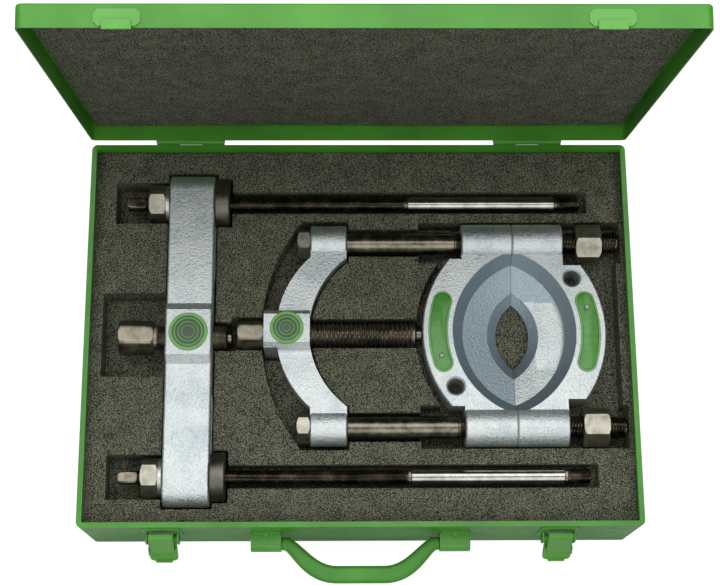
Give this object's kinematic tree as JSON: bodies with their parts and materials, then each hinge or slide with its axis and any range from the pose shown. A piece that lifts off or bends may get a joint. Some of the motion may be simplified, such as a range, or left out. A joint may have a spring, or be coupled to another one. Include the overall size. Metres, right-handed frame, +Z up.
{
  "type": "boxed puller and bearing separator set",
  "caption": "Steel case with hinged lid, handle and draw latches; its foam insert holds a crossbeam puller with tie rods and a split bearing separator with yoke and clamp rods.",
  "frame": {"origin": "middle of the case's underside", "axes": "+X along the case towards the separator, +Y from the handle towards the hinge, +Z up out of the open case"},
  "size_m": [0.475, 0.4015, 0.4395],
  "materials": {
    "green_paint": "green enamel, semi-gloss",
    "green_plastic": "moulded green plastic, satin",
    "foam": "open-cell dark grey foam",
    "zinc_forging": "bright zinc plate over forging scale",
    "black_steel": "blackened steel, lightly oiled",
    "ground_steel": "ground hexagon flats",
    "zinc_steel": "bright zinc-plated steel",
    "label_green": "printed green aluminium plate",
    "plain_steel": "plain steel rivet or pin"
  },
  "bodies": {
    "case": {"case_tray": "green_paint", "foam_insert": "foam", "hinge_base_leaves": "green_paint", "hinge_pins": "plain_steel", "handle_brackets": "green_paint", "latch_pins": "plain_steel", "case_rivets": "green_paint", "latch_base_left": "green_paint", "latch_base_right": "green_paint"},
    "lid": {"lid_shell": "green_paint", "lid_foam": "foam", "lid_strikers": "green_paint", "hinge_lid_leaves": "green_paint"},
    "handle": {"handle_bail": "green_plastic"},
    "latch_lever_left": {"latch_lever_left": "green_paint", "latch_claw_pin_left": "plain_steel"},
    "latch_lever_right": {"latch_lever_right": "green_paint", "latch_claw_pin_right": "plain_steel"},
    "latch_claw_left": {"latch_claw_left": "green_paint"},
    "latch_claw_right": {"latch_claw_right": "green_paint"},
    "crossbeam_puller": {"crossbeam": "zinc_forging", "crossbeam_disc": "label_green"},
    "main_screw_tip": {"main_spindle_tip": "black_steel"},
    "main_screw": {"main_spindle": "black_steel"},
    "tie_rod_back": {"tie_rod_back": "black_steel", "tie_nut_back": "ground_steel", "tie_washer_back": "zinc_steel", "tie_collar_back": "black_steel"},
    "tie_rod_front": {"tie_rod_front": "black_steel", "tie_nut_front": "ground_steel", "tie_washer_front": "zinc_steel", "tie_collar_front": "black_steel"},
    "separator_frame": {"yoke": "zinc_forging", "yoke_disc": "label_green", "yoke_nuts": "ground_steel", "clamp_rod_back": "black_steel", "clamp_rod_front": "black_steel"},
    "yoke_screw_tip": {"yoke_spindle_tip": "black_steel"},
    "yoke_screw": {"yoke_spindle": "black_steel"},
    "blade_left": {"blade_half_left": "zinc_forging", "blade_label_left": "label_green", "blade_label_rivet_left": "plain_steel"},
    "blade_right": {"blade_half_right": "zinc_forging", "blade_label_right": "label_green", "blade_label_rivet_right": "plain_steel"},
    "clamp_nut_back": {"clamp_nut_back": "ground_steel"},
    "clamp_nut_front": {"clamp_nut_front": "ground_steel"}
  },
  "joints": [
    {"name": "lid_hinge", "type": "hinge", "parent": "case", "child": "lid", "pos_m": [0, 0.1732, 0.0964], "axis": [-1, 0, 0], "range_deg": [-81.4, 18.6]},
    {"name": "handle_swing", "type": "hinge", "parent": "case", "child": "handle", "pos_m": [0, -0.178, 0.048], "axis": [1, 0, 0], "range_deg": [-80, 80]},
    {"name": "latch_lever_left_swing", "type": "hinge", "parent": "case", "child": "latch_lever_left", "pos_m": [-0.168, -0.176, 0.067], "axis": [1, 0, 0], "range_deg": [-5, 31]},
    {"name": "latch_claw_left_swing", "type": "hinge", "parent": "latch_lever_left", "child": "latch_claw_left", "pos_m": [-0.168, -0.18509, 0.06196], "axis": [1, 0, 0], "range_deg": [0, 70]},
    {"name": "latch_lever_right_swing", "type": "hinge", "parent": "case", "child": "latch_lever_right", "pos_m": [0.168, -0.176, 0.067], "axis": [1, 0, 0], "range_deg": [-5, 31]},
    {"name": "latch_claw_right_swing", "type": "hinge", "parent": "latch_lever_right", "child": "latch_claw_right", "pos_m": [0.168, -0.18509, 0.06196], "axis": [1, 0, 0], "range_deg": [0, 70]},
    {"name": "puller_lift", "type": "slide", "parent": "case", "child": "crossbeam_puller", "axis": [0, 0, 1], "range_m": [0, 0.12]},
    {"name": "main_screw_feed", "type": "slide", "parent": "crossbeam_puller", "child": "main_screw_tip", "axis": [1, 0, 0], "range_m": [-0.012, 0]},
    {"name": "main_screw_spin", "type": "hinge", "parent": "main_screw_tip", "child": "main_screw", "pos_m": [-0.16, -0.002, 0.075], "axis": [1, 0, 0], "range_deg": [-2880, 0]},
    {"name": "tie_rod_front_spin", "type": "hinge", "parent": "crossbeam_puller", "child": "tie_rod_front", "pos_m": [-0.148, -0.125, 0.075], "axis": [1, 0, 0], "continuous": true},
    {"name": "tie_rod_back_spin", "type": "hinge", "parent": "crossbeam_puller", "child": "tie_rod_back", "pos_m": [-0.148, 0.121, 0.075], "axis": [1, 0, 0], "continuous": true},
    {"name": "separator_lift", "type": "slide", "parent": "case", "child": "separator_frame", "axis": [0, 0, 1], "range_m": [0, 0.12]},
    {"name": "yoke_screw_feed", "type": "slide", "parent": "separator_frame", "child": "yoke_screw_tip", "axis": [1, 0, 0], "range_m": [-0.0036, 0]},
    {"name": "yoke_screw_spin", "type": "hinge", "parent": "yoke_screw_tip", "child": "yoke_screw", "pos_m": [-0.063, 0.0005, 0.076], "axis": [1, 0, 0], "range_deg": [-324, 0]},
    {"name": "blade_left_slide", "type": "slide", "parent": "separator_frame", "child": "blade_left", "axis": [1, 0, 0], "range_m": [-0.0036, 0]},
    {"name": "blade_right_slide", "type": "slide", "parent": "separator_frame", "child": "blade_right", "axis": [1, 0, 0], "range_m": [0, 0.0118]},
    {"name": "clamp_nut_front_spin", "type": "hinge", "parent": "separator_frame", "child": "clamp_nut_front", "pos_m": [0.202, -0.0825, 0.076], "axis": [1, 0, 0], "continuous": true},
    {"name": "clamp_nut_back_spin", "type": "hinge", "parent": "separator_frame", "child": "clamp_nut_back", "pos_m": [0.202, 0.0835, 0.076], "axis": [1, 0, 0], "continuous": true}
  ],
  "couplings": [
    {"joint": "main_screw_spin", "follows": "main_screw_feed", "rad_per_m": 4188.8},
    {"joint": "yoke_screw_spin", "follows": "yoke_screw_feed", "rad_per_m": 1570.8},
    {"joint": "blade_left_slide", "follows": "yoke_screw_feed", "ratio": 1}
  ]
}
